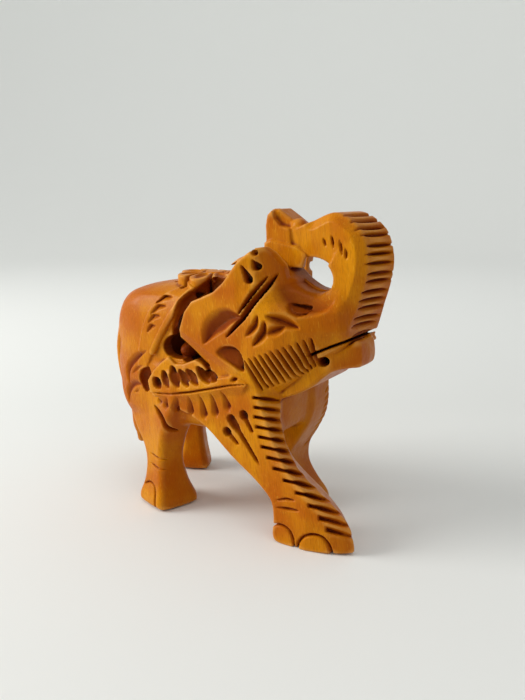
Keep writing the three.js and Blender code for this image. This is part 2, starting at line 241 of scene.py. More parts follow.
TORSO_SIDE = smooth_outline([
    (-25, 20.8), (-29.8, 22), (-33.2, 26.4), (-35.3, 32.6), (-35.9, 39), (-34.8, 45.6), (-31.2, 51.4),
    (-24.6, 55.4), (-13, 57.4), (0, 57.6), (8, 58), (15, 47), (17.5, 36), (18, 28), (16, 23.5), (6, 21),
    (-14, 20.2)])
TORSO_FRONT = smooth_outline(mirrored([
    (0, 57.8), (5.5, 57), (9.6, 54.4), (12.4, 49.4), (FLANK, 42), (14, 30), (13, 24.4),
    (9.4, 21), (0, 20)], 0))
TORSO_PLAN = smooth_outline(mirrored([
    (-36, 0), (-35, 4.6), (-31.6, 9.2), (-25.6, 12.6), (-19, FLANK), (11, FLANK), (16, 11),
    (18, 6), (18.4, 0)], 1))

HEAD_SIDE = smooth_outline([
    (5, 41), (3.4, 50), (3.6, 59), (6.6, 63.6), (11, 64.2), (15.2, 62.3), (19.1, 58.9), (23.5, 56.9),
    (27, 57.6), (30, 59), (31, 52), (31.6, 47.4), (29.6, 44.4), (24.4, 40.6), (13, 31.6), (8.6, 34.6)])
HEAD_HALF_WIDTHS = {
    66: [(4, 9), (10, 11), (13, 9), (16, 5), (20, 2), (31, 2)],
    62: [(4, 13), (10, 14.8), (13, 13.8), (16, 10.6), (19, 6.4), (22, 3.6), (31, 3)],
    59: [(4, 15), (10, 15.2), (14, 13.8), (17, 11), (20, 7.4), (24, 4.6), (31, 5.4)],
    57: [(4, 15.2), (12, 15), (15, 13.6), (18, 11.6), (21, 9), (24, 6.6), (31, 6.6)],
    55: [(4, 15.2), (13, 15.2), (16, 14), (20, 11.6), (24, 8.8), (31, 7.2)],
    53: [(4, 15.2), (13, 15.4), (17, 14.8), (21, 13), (25, 10.8), (31, 8)],
    49: [(4, 15.2), (14, 15.4), (18, 14.8), (22, 13.2), (26, 11), (31, 8)],
    45: [(4, 15.2), (14, 15.4), (18, 14.8), (22, 13.2), (26, 10.6), (29, 7.6), (32, 5)],
    41: [(4, 15.2), (12, 15.2), (16, 14.6), (20, 13.4), (24, 11), (28, 7)],
    37: [(4, 14.6), (12, 14.4), (16, 13.6), (20, 11.8), (28, 8)],
    33: [(4, 12.6), (12, 12.2), (16, 10.5), (28, 7)],
    30: [(4, 10), (28, 6)]}
HEAD_ROUNDING = 1.4
HEAD_DROP = 0.72
HEAD_DROP_FROM_Y = 0.5
HEAD_DROP_LEVELS = [50, 57]
HEAD_DEEPEST_DROP = 8

TRUNK_FRONT_EDGE = [
    (30.8, 46.2), (32.3, 49.8), (33.6, 53.4), (34.7, 56.8), (35.5, 60.1), (35.85, 63.4), (35.4, 66.6),
    (34.4, 69.4), (33.4, 70.7), (32, 71.9), (30.4, 72.9), (28.6, 73.6), (26.6, 73.6)]
TRUNK_SIDE = smooth_outline([(26.2, 43.6), (30.2, 44.9)] + TRUNK_FRONT_EDGE + [
    (22.4, 71.9), (18, 69.9), (15, 68.4), (14.4, 66.4), (15.8, 64.7), (19.6, 64), (24.2, 64), (27.2, 62.8),
    (28.8, 60.4), (28.6, 58), (26, 55.6), (22, 50)])
TRUNK_SPINE = smooth_outline([
    (26.5, 44), (29.5, 49), (32.3, 54.5), (33.9, 60), (33.8, 65), (31.4, 68.8), (27.5, 69.6),
    (23, 68.4), (19, 67.2), (15.5, 66.3)], closed=False)
TRUNK_HALF_WIDTH = [(0, 9.4), (0.14, 8.2), (0.28, 6.8), (0.5, 6.3), (0.68, 5.9), (0.82, 5.2), (1, 4)]
TRUNK_BACK = smooth_outline(TRUNK_FRONT_EDGE + [(22.4, 71.7)], closed=False)
TRUNK_BEVEL = [(0, 0.76), (1.9, 1.0), (5, 1.01)]
TRUNK_SWAY = 0.2
TRUNK_MOST_SWAY = 3
TRUNK_ROUNDING = 0.3

JAW_SIDE = smooth_outline([
    (11.5, 31.2), (19.1, 33.4), (24.2, 36.1), (28, 39.6), (31, 40.4), (33.4, 40.8), (34.2, 43),
    (32.6, 46.7), (30.6, 45.2), (28.4, 44.2), (25.6, 43.6), (20, 41)])
JAW_PLAN = np.array(mirrored([
    (10, 0), (10, 9.4), (19, 10.4), (24, 9.6), (27.6, 8.2), (31, 5.6), (33.6, 3.6), (34.2, 0)], 1))

EAR_BACK = [(11.2, 65.2), (8.8, 63.2), (7.2, 61.2), (5.2, 58.6), (2.4, 56.2), (-0.8, 54.8), (-3.6, 53.6),
            (-5.7, 51), (-7.2, 46.8), (-7.7, 44.8), (-4, 42.2), (-0.2, 38.9), (2.6, 37.3)]
EAR_TIP = [(4.6, 35.6), (7.6, 35.4), (13.6, 35.4)]
RIGHT_EAR_SIDE = np.array([(18, 59.6), (17.4, 62.4), (15.6, 65.2), (14.2, 66.5), (12.9, 66.3)] + EAR_BACK
                          + EAR_TIP + [(12, 46), (14, 54)])
EAR_FACE = [(-9, 15.4), (8.5, 15.4), (13, 14.4), (16.5, 11.4), (19, 8.4)]
EAR_THICKNESS = 3.2
EAR_CHAMFER = np.array([(-9, 47.8), (-5.2, 46), (2.5, 42), (10.1, 38.3), (14.4, 35)])
CHAMFER_SLOPE = 0.5
LEFT_EAR_SIDE = np.array([(11.6, 60.4), (12.2, 64.2)] + EAR_BACK + EAR_TIP + [(11.4, 46), (11.6, 52)])

FORELEG_FRONT = [(36.4, 1), (36, 3.6), (35.2, 6.2), (33, 8.8), (29.8, 11.4), (26.4, 13.7), (23.9, 15.6),
                 (21.9, 17.6), (20.2, 20.2), (19, 22.6), (18.1, 25.5), (17.5, 28), (17.4, 32)]
RIGHT_FORELEG_SIDE = smooth_outline([
    (-10, 27.6), (-5, 26), (-0.6, 23.9), (6.4, 18.3), (13.8, 13.1), (17.1, 9.6), (17.7, 5.6), (17.6, 1.2),
    (18.6, 0.1), (33.6, 0.1)] + FORELEG_FRONT + [(15, 38), (4, 41), (-10, 36), (-15, 31)])
FORELEG_RIDGE_Y = -10.6
FORELEG_BAND = [(5, 1.2), (8, 0.95), (11, 0.5), (14, 0.1), (22, 0.1), (25, 0.27), (28, 0.4), (32, 0.85)]
FORELEG_FACET = 0.8
FORELEG_DEEPEST = 6
FORELEG_INNER_Y = -4.4
RIGHT_FORELEG_PLAN = np.array([
    (-18, -14.4), (26, -14.4), (31, -13.4), (36.4, -11), (36.4, -8), (31, -5.4), (22, FORELEG_INNER_Y),
    (10, FORELEG_INNER_Y), (-4, -9), (-18, -11.5)])
LEFT_FORELEG_SIDE = smooth_outline([
    (1, 27), (4.4, 18), (6.2, 10.6), (7.4, 4.4), (8, 0.1), (18.4, 0.1), (18.6, 1.6), (14.6, 5.4),
    (11.8, 9.4), (11.8, 14), (14.4, 18.6), (17, 24), (17.6, 30), (16, 36), (2, 36)])
LEFT_FORELEG_PLAN = smooth_outline([(-2, 3.6), (-2, 13.4), (14, 14.3), (18.6, 12.6), (18.8, 6), (15, 3.4)])
HIND_LEG_SIDE = smooth_outline([
    (-10, 36), (-12.4, 28), (-11.6, 23), (-9, 18.4), (-6, 15), (-4.6, 11.6), (-4.6, 6.8), (-5.7, 2),
    (-5.2, 0.1), (5.1, 0.1), (5.2, 1.8), (4, 6.4), (3.2, 12), (3.8, 17), (6, 23), (8.4, 29), (8, 36)])
HIND_LEG_FRONT = smooth_outline([
    (-1.6, 38), (-2.6, 29), (-3.3, 21), (-3.3, 12.4), (-4, 6), (-5, 1.8), (-4.4, 0.1), (6, 0.1), (6.6, 1.8),
    (5, 6.4), (4, 12), (4.4, 17), (5.4, 23), (6, 29), (6, 38)])

HIND_LEG_ROUNDING = 1.7
RIGHT_HIND_STANCE = (-16.4, -10.5, -19)
LEFT_HIND_STANCE = (-25, 13.4, 24, 0.8)

TAIL_PATH = smooth_outline([(-35.2, 42.4), (-36.3, 37), (-35.6, 30), (-33, 23), (-31, 16.6), (-30.6, 12.6)],
                           closed=False)
TAIL_Y = -3.0
TAIL_RADIUS = 1.6
TAIL_TAPER = 0.5
TUFT = {"place": 0.86, "length": 0.1, "swell": 0.7}

FINIAL_SLAB_SIDE = np.array([
    (9.6, 64.9), (9.7, 66.7), (11.4, 67.4), (18, 66.2), (20.6, 64.6), (19.4, 61.6), (13.4, 61.6)])
FINIAL_SLAB_PLAN = np.array([(9, -5.4), (20.8, -5.4), (17.4, -1), (15.4, 3), (9, 4)])
FINIAL_NEAR_SIDE = np.array([
    (9.9, 66), (9.7, 70.5), (10.1, 72.8), (11.3, 73.9), (12, 72), (13.4, 70.5), (16, 70), (16.4, 66)])
FINIAL_FAR_SIDE = np.array([
    (9.8, 66), (9.6, 72), (10.6, 74), (12.4, 74.1), (15.4, 72.2), (18.4, 70.1), (18.6, 66)])
FINIAL_KNOB = ((17.2, -2.6, 70.2), (2.0, 1.9, 2.0))

LEAF_MIDRIB = [(-16.4, 30.2), (-10.3, 30.8), (-4.3, 32.2), (1.5, 33.9), (6.5, 35.4), (11.4, 36.4)]
LEAF_UPPER = [(-17.6, 33), (-16.2, 35.6), (-13.8, 38), (-12, 39.4), (-9.7, 38), (-7, 38.4), (-3.8, 39.8),
              (-1.4, 39), (0.4, 37.4), (2.4, 36.4), (7, 37.6)]
LEAF_LOWER = [(9.4, 33.4), (4.2, 29.2), (-0.6, 27.6), (-5, 27.4), (-11, 27.8), (-14.4, 28.6)]
LEAF_SIDE = np.array(LEAF_UPPER + LEAF_MIDRIB[-1:] + LEAF_LOWER + [LEAF_MIDRIB[0]])
LEAF_Y = (-15.5, -10.4)

CLOTH_SIDE = np.array([
    (-6.4, 55.4), (-10.3, 50.6), (-14.1, 45.2), (-16.7, 40.6), (-18.4, 37.2), (-20.2, 33.6), (-22.4, 34.4),
    (-22, 40), (-20.8, 45.4), (-18.8, 50.2), (-15, 54), (-10, 57)])
CLOTH_THICKNESS = 0.7
CLOTH_CORD = np.array([(-8, 54.6), (-11.6, 49.4), (-14.8, 44), (-17, 40)])
CORD_HALF_WIDTH = 0.8
CORD_HEIGHT = 0.9

CALF_MASSES = [((-6.2, 0, 41.4), (5.2, 3.4, 3.2)), ((0.2, 0, 43.2), (2.6, 2.6, 2.9)),
               ((-9.2, -6.2, 40.7), (2.2, 5.4, 2.3)), ((-9.2, 6.2, 40.7), (2.2, 5.4, 2.3))]
CALF_LEG_X = (-9, -3)
CALF_LEG_Y = (-2.2, 2.2)
CALF_LEG_HALF_WIDTH = 1.1
CALF_LEG_LEVELS = (34.8, 41)

SADDLE_CENTRE = (-7.6, 0.0)
SADDLE_RADIUS = 9.6
SADDLE_HEIGHT = 3.4
SADDLE_NARROWER = 1.1
PETALS = 8
PETAL_DIP = 0.22


def loft_values(table, at):
    """Values between the (place, value) pairs of a table."""
    places, values = zip(*table)
    return np.interp(at, places, values)


def head_mass(x, y, z):
    """Sawn to its side outline, with the half widths of each level tapering from the ears to the trunk.
    The far side of the forehead falls away."""
    levels = sorted(HEAD_HALF_WIDTHS)
    rows = np.array([loft_values(HEAD_HALF_WIDTHS[level], x) for level in levels])
    half = np.array([np.interp(z, levels, column) for column in rows.T])
    across = (np.abs(y)[None, :, None] - half[:, None, :]) / steepness(half)[:, None, :]
    fine = np.arange(z[0], z[-1] + HEAD_DEEPEST_DROP + 1, STEP)
    side = inside_distance(HEAD_SIDE, x, fine)
    drop = HEAD_DROP * np.maximum(y - HEAD_DROP_FROM_Y, 0)[:, None] * np.interp(z, HEAD_DROP_LEVELS, [0, 1])
    lowered = between_rows(side.T, fine[0], z + np.minimum(drop, HEAD_DEEPEST_DROP))
    return both(np.moveaxis(lowered, 2, 0), across, HEAD_ROUNDING)


def trunk_mass(x, y, z):
    """The side outline gives the curl, which sways a little to one side. The half width follows the
    spine, and a flat bevel runs down each side of the ribbed face."""
    fine = np.arange(x[0] - TRUNK_MOST_SWAY, x[-1] + TRUNK_MOST_SWAY, STEP)
    side = inside_distance(TRUNK_SIDE, fine, z)
    _, along, _ = along_path(TRUNK_SPINE, fine, z)
    behind, _, _ = along_path(TRUNK_BACK, fine, z)
    half = loft_values(TRUNK_HALF_WIDTH, along) * loft_values(TRUNK_BEVEL, behind)
    tables = (side, half, steepness(half))
    out = np.empty((x.size, y.size, z.size))
    for j, v in enumerate(y):
        border, width, slant = [between_rows(table, fine[0], x - TRUNK_SWAY * v) for table in tables]
        out[:, j] = both(border, (abs(v) - width) / slant, TRUNK_ROUNDING)
    return out


def right_foreleg_mass(x, y, z):
    """A sawn leg whose front edge is a ridge, with a narrow band outside it and a long facet inside."""
    fine = np.arange(x[0] - 1, x[-1] + 9, STEP)
    side = inside_distance(RIGHT_FORELEG_SIDE, fine, z)
    slope = np.interp(z, *zip(*FORELEG_BAND))
    recede = (slope[None, :] * np.maximum(FORELEG_RIDGE_Y - y, 0)[:, None]
              + FORELEG_FACET * np.maximum(y - FORELEG_RIDGE_Y, 0)[:, None])
    at = (x[:, None, None] + np.minimum(recede, FORELEG_DEEPEST)[None] - fine[0]) / STEP
    below = np.clip(at.astype(int), 0, fine.size - 2)
    share = at - below
    level = np.arange(z.size)[None, None, :]
    shifted = (1 - share) * side[below, level] + share * side[below + 1, level]
    straight = inside_distance(RIGHT_FORELEG_SIDE, x, z)[:, None, :]
    plan = inside_distance(RIGHT_FORELEG_PLAN, x, y)[:, :, None]
    return both(np.maximum(shifted * 0.85, straight), np.broadcast_to(plan, shifted.shape), 0.5)


def turned_leg(centre_x, centre_y, turn, girth=1.0):
    """A hind leg: a sawn block turned, in degrees, about its own upright axis."""
    c, s = math.cos(math.radians(turn)), math.sin(math.radians(turn))
    fine = np.arange(-18, 14, STEP)

    def lookup(outline, places, z):
        within = np.clip(places / girth, fine[0], fine[-1] - STEP / 100)
        return between_rows(inside_distance(outline, fine, z), fine[0], within) * girth

    def shape(x, y, z):
        dx = x[:, None] - centre_x
        dy = y[None, :] - centre_y
        side = lookup(HIND_LEG_SIDE, c * dx + s * dy, z)
        return both(side, lookup(HIND_LEG_FRONT, c * dy - s * dx, z), HIND_LEG_ROUNDING)
    return shape


def tail_mass(x, y, z):
    """A thin tapering tail that swells into its tuft."""
    gap, along, _ = along_path(TAIL_PATH, x, z)
    tuft = TUFT["swell"] * np.exp(-((along - TUFT["place"]) / TUFT["length"]) ** 2)
    radius = TAIL_RADIUS - TAIL_TAPER * along + tuft
    return np.sqrt(gap[:, None, :] ** 2 + (y[None, :, None] - TAIL_Y) ** 2) - radius[:, None, :]


def finial_mass(x, y, z):
    """A tilted slab on the forehead, with a near post, a far post and a knob beside the trunk's tip."""
    slab = sawn(side=FINIAL_SLAB_SIDE, plan=FINIAL_SLAB_PLAN, edge=0.4)(x, y, z)
    near = sawn(side=FINIAL_NEAR_SIDE, low_y=-4.8, high_y=-1, edge=0.35)(x, y, z)
    far = sawn(side=FINIAL_FAR_SIDE, low_y=-3.6, high_y=2.6, edge=0.8)(x, y, z)
    knob = ellipsoid(*FINIAL_KNOB)(x, y, z)
    return either(either(slab, either(near, far, 0.6), 0.3), knob, 0.25)


def ear_face(x, z):
    """How far out the ear stands: planed down in one wide chamfer along its lower rear edge."""
    gap, _, left = along_path(EAR_CHAMFER, x, z)
    return np.interp(x, *zip(*EAR_FACE))[:, None] - np.where(left, 0, CHAMFER_SLOPE * gap)


def ear_mass(outline, sign):
    """A thin plate that stands off the neck and bends in to meet the forehead."""
    def shape(x, y, z):
        out = sign * y
        border = inside_distance(outline, x, z)
        face = ear_face(x, z)
        plate = np.maximum(out[None, :, None] - face[:, None, :],
                           (face.max(axis=1) - EAR_THICKNESS)[:, None, None] - out[None, :, None])
        return both(np.broadcast_to(border[:, None, :], plate.shape), plate, 0.5)
    return shape


def leaf_mass(sign):
    """A slab standing off the flank, ridged along its midrib."""
    def shape(x, y, z):
        out = sign * y
        border = inside_distance(LEAF_SIDE, x, z)
        rib = loft_values(LEAF_MIDRIB, x)[:, None]
        above = np.maximum(z[None, :] - rib, 0)
        below = np.maximum(rib - z[None, :], 0)
        face = -LEAF_Y[0] - 0.2 * above - 0.42 * below
        slab = np.maximum(out[None, :, None] - face[:, None, :], -LEAF_Y[1] - out[None, :, None])
        return both(np.broadcast_to(border[:, None, :], slab.shape), slab, 0.3)
    return shape


def saddle_outline(x, y, z):
    """An open flower: a ring of rounded petals."""
    dx, dy = x[:, None] - SADDLE_CENTRE[0], y[None, :] - SADDLE_CENTRE[1]
    turn = np.arctan2(dy, dx)
    rim = SADDLE_RADIUS * (1 - PETAL_DIP + PETAL_DIP * np.abs(np.cos(PETALS * turn / 2)) ** 0.8)
    return np.broadcast_to((np.hypot(dx, dy * SADDLE_NARROWER) - rim)[:, :, None], (x.size, y.size, z.size))


def flank_outline(points, beyond):
    """An outline seen from the side that counts only on the two flanks."""
    def shape(x, y, z):
        border = inside_distance(points, x, z)[:, None, :]
        return np.maximum(border, (beyond - np.abs(y))[None, :, None])
    return shape


def saw_masses(block):
    """The large masses, sawn and joined, and the thin layers that lie on them."""
    block.add("torso", (-38, -14, 20), (19, 14, 58),
              sawn(TORSO_SIDE, TORSO_FRONT, TORSO_PLAN, edge=4.5))
    block.add("head", (3, -15.4, 30), (32, 15.4, 65), head_mass, fillet=0.6)
    block.add("trunk", (14, -10, 44), (39.2, 10, 74.4), trunk_mass, fillet=1.0)
    block.add("lower_jaw", (11, -11, 31), (36, 11, 47.2), sawn(JAW_SIDE, plan=JAW_PLAN, edge=1.0), fillet=0.4)
    block.add("forehead_finial", (7, -7, 61), (21, 6, 74.6), finial_mass, fillet=0.25)
    block.add("right_foreleg", (-17, -14.5, 0), (36.4, -3.5, 42), right_foreleg_mass, fillet=1.2)
    block.add("left_foreleg", (0, 3, 0), (20, 14.8, 37),
              sawn(LEFT_FORELEG_SIDE, plan=LEFT_FORELEG_PLAN, edge=0.9), fillet=1.6)
    block.add("right_hind_leg", (-31, -17.2, 0), (-5, -1, 39), turned_leg(*RIGHT_HIND_STANCE), fillet=1.6)
    block.add("left_hind_leg", (-34, 3, 0), (-14, 17.4, 39), turned_leg(*LEFT_HIND_STANCE), fillet=1.8)
    block.add("tail", (-39.6, -6, 9), (-31, 0, 43), tail_mass, fillet=0.8)
    block.patch("saddle", (-19, -11, 50), (4, 11, 61.5), saddle_outline, SADDLE_HEIGHT)
    for side in ("right", "left"):
        sign = -1 if side == "right" else 1
        low_y, high_y = sorted((sign * 9, sign * 16))
        block.patch(side + "_saddle_cloth", (-24, low_y, 32), (-5, high_y, 58),
                    flank_outline(CLOTH_SIDE, 6), CLOTH_THICKNESS)
        add_cord(block, side, sign)


def add_cord(block, side, sign):
    """A raised border down the front edge of the saddle cloth."""
    def border(x, y, z):
        gap, _, _ = along_path(CLOTH_CORD, x, z)
        return np.broadcast_to((gap - CORD_HALF_WIDTH)[:, None, :], (x.size, y.size, z.size))
    low_y, high_y = sorted((sign * 9, sign * 16))
    block.patch(side + "_saddle_cloth", (-21, low_y, 35), (-7, high_y, 57), border, CORD_HEIGHT, edge=0.3)


def add_plates(block):
    """The ears and leaves stand off the flank, so the hollow ways behind them are cut first."""
    for side, outline in (("right", RIGHT_EAR_SIDE), ("left", LEFT_EAR_SIDE)):
        sign = -1 if side == "right" else 1
        low_y, high_y = sorted((sign * 15.4, sign * 9.6))
        block.add(side + "_ear", (-8, low_y, 34), (20.4, high_y, 67.5), ear_mass(outline, sign), fillet=0.3)
        block.add(side + "_leaf", (-18, low_y, 26), (12, high_y, 41), leaf_mass(sign), fillet=0.3)


def add_calf(block):
    """A calf stands in the hollow, carved from the same wood, with a knob at each hole in the flank."""
    # What was torso in the hollow is air now, so the calf's wood there is its own.
    block.nearest = np.maximum(block.nearest, block.field)
    for centre, radii in CALF_MASSES:
        low = [c - r for c, r in zip(centre, radii)]
        high = [c + r for c, r in zip(centre, radii)]
        block.add("calf", low, high, ellipsoid(centre, radii), fillet=0.8)
    half, (foot, hip) = CALF_LEG_HALF_WIDTH, CALF_LEG_LEVELS
    for x in CALF_LEG_X:
        for y in CALF_LEG_Y:
            side = np.array([(x - half, foot), (x - half, hip), (x + half, hip), (x + half, foot)])
            block.add("calf", (x - half, y - half, foot), (x + half, y + half, hip),
                      sawn(side, low_y=y - half, high_y=y + half, edge=0.4), fillet=0.6)


def part_torso(block):
    """The torso's wood around the hollow counts as rump, shoulders, back and belly."""
    x, _, z = np.ix_(*block.axes)
    torso = block.node == block.names.index("torso") + 1
    middle = (CHAMBER["floor"] + CHAMBER["roof"]) / 2
    areas = (("belly", z < middle), ("back", z >= middle), ("rump", x < CHAMBER["rear"]),
             ("shoulders", x > CHAMBER["front"]))
    for name, area in areas:
        block.names.append(name)
        block.node[torso & area] = len(block.names)


# ---------------------------------------------------------------- knife work

def pin(t):
    """A narrow shank that opens into a round head."""
    return np.interp(t, [0, 0.12, 0.7, 0.86, 1], [0.05, 0.4, 0.55, 1, 1])


FORMS = {
    "lens": lambda t: np.sin(np.pi * t) ** 0.7,
    "slit": lambda t: np.sin(np.pi * t) ** 0.4,
    "drop": lambda t: 0.08 + 0.92 * t ** 0.8,
    "thorn": lambda t: np.clip(1.02 - t, 0, 1) ** 0.7,
    "pin": pin,
    "even": lambda t: np.ones_like(t)}

VIEWS = {"side": (0, 2, 1), "front": (1, 2, 0), "plan": (0, 1, 2)}


class Stroke:
    """One cut of the knife along a path. Width is both half widths; the right one may be given."""

    def __init__(self, points, width, depth, form="lens", wall="v", right=None, curved=False):
        self.points = smooth_outline(points, closed=False) if curved else np.array(points, float)
        self.right = width / 2 if right is None else right
        self.left = width - self.right
        self.deepest = depth
        self.form = FORMS[form]
        self.wall = wall
        self.low = self.points.min(axis=0) - max(self.left, self.right)
        self.high = self.points.max(axis=0) + max(self.left, self.right)

    def depth(self, u, v):
        gap, along, left = along_path(self.points, u, v)
        share = np.maximum(self.form(np.clip(along, 0, 1)), 0.02)
        fall = np.clip(1 - gap / (np.where(left, self.left, self.right) * share), 0, 1)
        if self.wall == "round":
            fall = np.sqrt(1 - (1 - fall) ** 2)
        elif self.wall == "steep":
            fall = np.minimum(fall * 2.4, 1)
        return self.deepest * share ** 0.6 * fall


class Scoop:
    """A chip with a steep wall round its outline and a floor that climbs away from its deepest side."""

    def __init__(self, points, deep_at, shallow_at, depth, wall=2.2):
        self.points = smooth_outline(points)
        self.deep_at = np.array(deep_at, float)
        self.climb = np.array(shallow_at, float) - self.deep_at
        self.deepest = depth
        self.wall = wall
        self.low = self.points.min(axis=0)
        self.high = self.points.max(axis=0)

    def depth(self, u, v):
        inside = np.maximum(-inside_distance(self.points, u, v), 0)
        du, dv = u[:, None] - self.deep_at[0], v[None, :] - self.deep_at[1]
        along = (du * self.climb[0] + dv * self.climb[1]) / (self.climb ** 2).sum()
        return np.minimum(inside * self.wall, self.deepest * np.clip(1 - along, 0, 1.15))


def depth_map(cuts, u, v):
    """How deep the cuts go at each point; where cuts cross, the deeper one counts."""
    flat = np.zeros((u.size, v.size))
    for cut in cuts:
        i = slice(*np.searchsorted(u, (cut.low[0] - STEP, cut.high[0] + STEP)))
        j = slice(*np.searchsorted(v, (cut.low[1] - STEP, cut.high[1] + STEP)))
        flat[i, j] = np.maximum(flat[i, j], cut.depth(u[i], v[j]))
    return flat


def engrave(block, view, cuts, reach, mirror=False):
    """Makes cuts seen along one axis, wherever that axis is within the reach."""
    first, second, third = VIEWS[view]
    low = np.min([cut.low for cut in cuts], axis=0)
    high = np.max([cut.high for cut in cuts], axis=0)
    for near, far in [reach, (-reach[1], -reach[0])] if mirror else [reach]:
        corner_low, corner_high = [near] * 3, [far] * 3
        corner_low[first], corner_low[second] = low
        corner_high[first], corner_high[second] = high

        def depth(x, y, z):
            axes = (x, y, z)
            flat = depth_map(cuts, axes[first], axes[second])
            inside = (axes[third] >= near) & (axes[third] <= far)
            return np.expand_dims(flat, third) * np.expand_dims(inside, (first, second))
        block.inset(corner_low, corner_high, depth)


def engrave_ear(block, cuts, sign, low, high):
    """Cuts made to a depth below the face of the ear, through whatever wood lies there."""
    def wood_left(x, y, z):
        depth = depth_map(cuts, x, z)
        limit = ear_face(x, z) - depth
        cutter = limit[:, None, :] - (sign * y)[None, :, None]
        return np.where((depth > 0.02)[:, None, :], cutter, FAR)
    block.cut(low, high, wood_left, edge=0.1)


NEAR = (-20, -4)


def carve_hollow(block):
    """The belly is hollowed from side to side, leaving thin flank walls with a hole in each."""
    c = CHAMBER
    room = np.array([(c["rear"], c["floor"]), (c["front"], c["floor"]), (c["front"], c["roof"]),
                     (c["rear"], c["roof"])])
    block.cut((c["rear"], -c["half_width"], c["floor"]), (c["front"], c["half_width"], c["roof"]),
              sawn(room, low_y=-c["half_width"], high_y=c["half_width"], edge=1.0))
    window = smooth_outline([
        (-14.2, 41.4), (-13.4, 43.4), (-10.4, 45), (-4, 46.4), (0.6, 44), (0, 41), (-5, 39.8), (-9.6, 39),
        (-13, 39.6)])
    block.cut((-15, -17, 38), (4, 17, 48), sawn(window, low_y=-17, high_y=17, edge=0.5))
    way = Stroke([(8, 60), (2.4, 57.4), (-3.4, 55), (-7.2, 51.4), (-8.6, 46), (-7, 42), (-2, 38)],
                 6.0, 2.4, "even", "round")
    engrave(block, "side", [way], NEAR, mirror=True)


def ear_cuts():
    """Two long slits, a crescent and a half round on each ear."""
    return [
        Stroke([(15.2, 60.5), (12.4, 56.5), (9, 51.7)], 1.1, 1.6, "slit"),
        Stroke([(16.8, 61), (14.6, 57.2), (11, 52), (6, 46.4)], 1.6, 2.1, "slit"),
        Stroke([(-0.2, 44.2), (2, 47.3), (4.3, 49.2), (6.6, 50.6), (10, 51.2)], 5.4, 1.9, "lens",
               right=2.0, curved=True),
        Scoop([(3.3, 42.5), (4.2, 43.9), (6.2, 44.6), (8.4, 44.5), (9.9, 43.2), (10.5, 41.2), (10.4, 38.9),
               (7, 40.3)], (9.2, 43.6), (4.4, 38.6), 2.1)]


def drop_cuts(top):
    """The drops at the top of an ear: a dot and two seeds on the right, one seed on the left."""
    seeds = [Stroke([(9.9, 62.6), (11.6, 59.6)], 2.1, 1.9, "drop", "steep")]
    if top:
        seeds.append(Stroke([(12.3, 63.9), (13.2, 62.4)], 2.0, 1.9, "drop", "steep"))
        seeds.append(Stroke([(12.7, 65.4), (12.9, 65.3)], 1.4, 1.6, "even", "steep"))
    return seeds


def face_cuts():
    """Four leaf cuts, a row of hatching along the jaw and the empty socket of the tusk."""
    leaves = [
        Stroke([(14.1, 52.3), (13.3, 49.8), (11.1, 47.2)], 2.2, 1.3, right=0.8),
        Stroke([(15.7, 51.2), (15.2, 48.4), (12.9, 45.2)], 2.6, 1.5, right=0.9),
        Stroke([(15.9, 52.2), (19.2, 50.9), (23, 49.6)], 3.0, 1.4, right=1.2),
        Stroke([(15.8, 47.9), (17.8, 49), (20.4, 50.2)], 2.8, 1.4, right=1.5)]
    hatch = []
    count = 12
    for i in range(count):
        t = i / (count - 1)
        top = (10.6 + 14.4 * t, 41.9 + 6 * t)
        foot = (14.4 + 3.4 * math.sin(t * 2.2) + 8.6 * t ** 1.2, 34.9 + 6.6 * t)
        hatch.append(Stroke([top, foot], 1.2, 1.35, "slit"))
    socket = Stroke([(26.6, 42.1), (26.8, 42.2)], 2.2, 4.5, "even", "steep")
    return leaves + hatch + [socket]


def carve_face(block):
    """The eye in its hollow, and the line of the mouth."""
    hollow = Scoop([
        (16.4, 57.4), (17.4, 55.2), (19.4, 53.3), (21.6, 52.2), (24.2, 51.8), (26.6, 52.5), (28.4, 54.2),
        (28.6, 56.2), (26.4, 57.8), (23, 58.4), (19.6, 59), (17.4, 59)],
        (21.4, 52.4), (24.4, 58.4), 1.3, wall=0.7)
    engrave(block, "side", [hollow], (-20, -3), mirror=True)
    eye = [Scoop([(19.4, 54.6), (21.6, 54.4), (24.2, 53.9), (23.6, 52.9), (22, 52.6), (20.4, 53.4)],
                 (22, 54.2), (21.8, 50.6), 0.9, wall=2.6),
           Stroke([(19.4, 54.3), (20.6, 53.1), (22.2, 52.3), (23.6, 52.6), (24.4, 53.6)], 0.8, 1.2),
           Stroke([(22.6, 54), (22.4, 52.9)], 0.7, 1.0)]
    engrave(block, "side", eye, (-20, -3), mirror=True)
    mouth = Stroke([(24.4, 43.7), (28.5, 45.7), (32, 47.2), (37, 48.6)], 0.7, 3.0, "even")
    engrave(block, "side", [mouth], (-20, 20))


RIBS = 15
RIB_SPACING = 2.03
RIB_HALF_WIDTH = 0.74
RIB_DEPTH = 1.35
RIB_END = 5.0
RIB_FIRST = 1.5
RIB_WANDER = 0.2
RIB_SHIFT = 0.3
RIB_TILT = 0.02
RIB_REACH = 3


